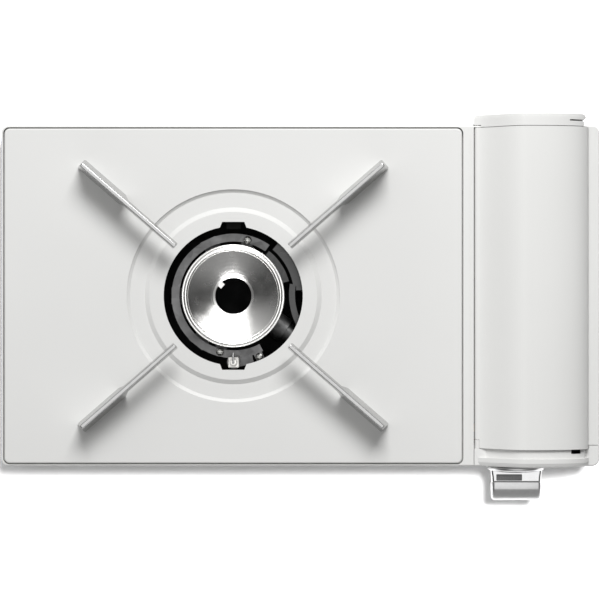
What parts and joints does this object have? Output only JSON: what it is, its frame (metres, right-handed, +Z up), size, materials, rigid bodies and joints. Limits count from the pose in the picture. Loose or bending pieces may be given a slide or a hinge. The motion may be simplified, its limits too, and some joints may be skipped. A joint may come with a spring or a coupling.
{
  "type": "butane cassette stove",
  "caption": "Low rectangular table stove: ring burner and radial pan supports on a lift-off plate, hinged arched lid over a cartridge bay, rotary igniter knob.",
  "frame": {"origin": "on the table, under the middle of the whole outline (body, rear end cap and knob)", "axes": "+X along the body towards the cartridge bay, +Y to the rear, +Z up"},
  "size_m": [0.419, 0.2714, 0.08],
  "materials": {
    "white_steel": "satin white paint on sheet steel",
    "white_plate": "satin white heat-proof coating",
    "white_resin": "satin white moulding",
    "dark_steel": "matt dark coating",
    "black_rubber": "matt",
    "grey_rubber": "matt",
    "zinc_screw": "bright zinc",
    "galvanised_steel": "dull plated sheet",
    "bright_steel": "drawn steel",
    "black_enamel": "satin black enamel",
    "cast_alloy": "as cast",
    "stainless": "plain stainless strip",
    "turned_stainless": "turned and polished",
    "brass": "machined",
    "heat_strip": "plain strip",
    "ceramic": "glazed white",
    "lead_sleeve": "silicone sleeve",
    "black_resin": "fine grained",
    "cam_resin": "natural acetal",
    "satin_silver": "satin plated with polished neck",
    "zinc_casting": "zinc die casting, as cast",
    "magnet": "ground ferrite",
    "cast_arm": "satin nickel on cast steel"
  },
  "bodies": {
    "stove": {"body_shell": "white_steel", "front_cap": "white_resin", "rear_cap": "white_resin", "base_plate": "dark_steel", "rubber_feet": "black_rubber", "foot_screws": "zinc_screw", "base_screws": "zinc_screw", "rear_cap_screws": "zinc_screw", "burner_screws": "zinc_screw", "regulator_screws": "zinc_screw", "bay_partition": "galvanised_steel", "hinge_pins": "bright_steel", "burner_well": "black_enamel", "burner_bracket": "galvanised_steel", "burner_body": "cast_alloy", "port_ring": "stainless", "burner_cap": "turned_stainless", "mixing_tube": "cast_alloy", "jet_bracket": "galvanised_steel", "gas_jet": "brass", "gas_pipe": "brass", "heat_panel": "heat_strip", "electrode_insulator": "ceramic", "electrode_needle": "bright_steel", "electrode_bracket": "galvanised_steel", "ignition_lead": "lead_sleeve", "lead_clips": "galvanised_steel", "piezo_igniter": "black_resin", "piezo_bracket": "galvanised_steel", "knob_bezel": "satin_silver", "regulator_body": "zinc_casting", "regulator_diaphragm": "black_rubber", "regulator_spring": "bright_steel", "regulator_cover": "zinc_casting", "inlet_seal": "black_rubber", "magnet_ring": "magnet", "guide_key": "bright_steel", "cartridge_cradle": "black_resin"},
    "plate": {"top_plate": "white_plate", "arm_front_left": "cast_arm", "arm_front_right": "cast_arm", "arm_rear_left": "cast_arm", "arm_rear_right": "cast_arm", "arm_screws": "zinc_screw"},
    "lid": {"cartridge_lid": "white_steel", "lid_bumpers": "grey_rubber"},
    "knob": {"knob": "satin_silver", "knob_shaft": "brass", "igniter_cam": "cam_resin"},
    "plunger": {"piezo_plunger": "cam_resin"}
  },
  "joints": [
    {"name": "lid_hinge", "type": "hinge", "parent": "stove", "child": "lid", "pos_m": [0.12425, 0.009, 0.0558], "axis": [0, -1, 0], "range_deg": [0, 90]},
    {"name": "knob_turn", "type": "hinge", "parent": "stove", "child": "knob", "pos_m": [0.15285, -0.12, 0.038], "axis": [0, -1, 0], "range_deg": [0, 130]},
    {"name": "piezo_press", "type": "slide", "parent": "stove", "child": "plunger", "axis": [1, 0, 0], "range_m": [0, 0.00602]},
    {"name": "plate_lift", "type": "slide", "parent": "stove", "child": "plate", "axis": [0, 0, 1], "range_m": [0, 0.009]}
  ],
  "couplings": [
    {"joint": "piezo_press", "follows": "knob_turn", "m_per_rad": 0.0026444}
  ]
}
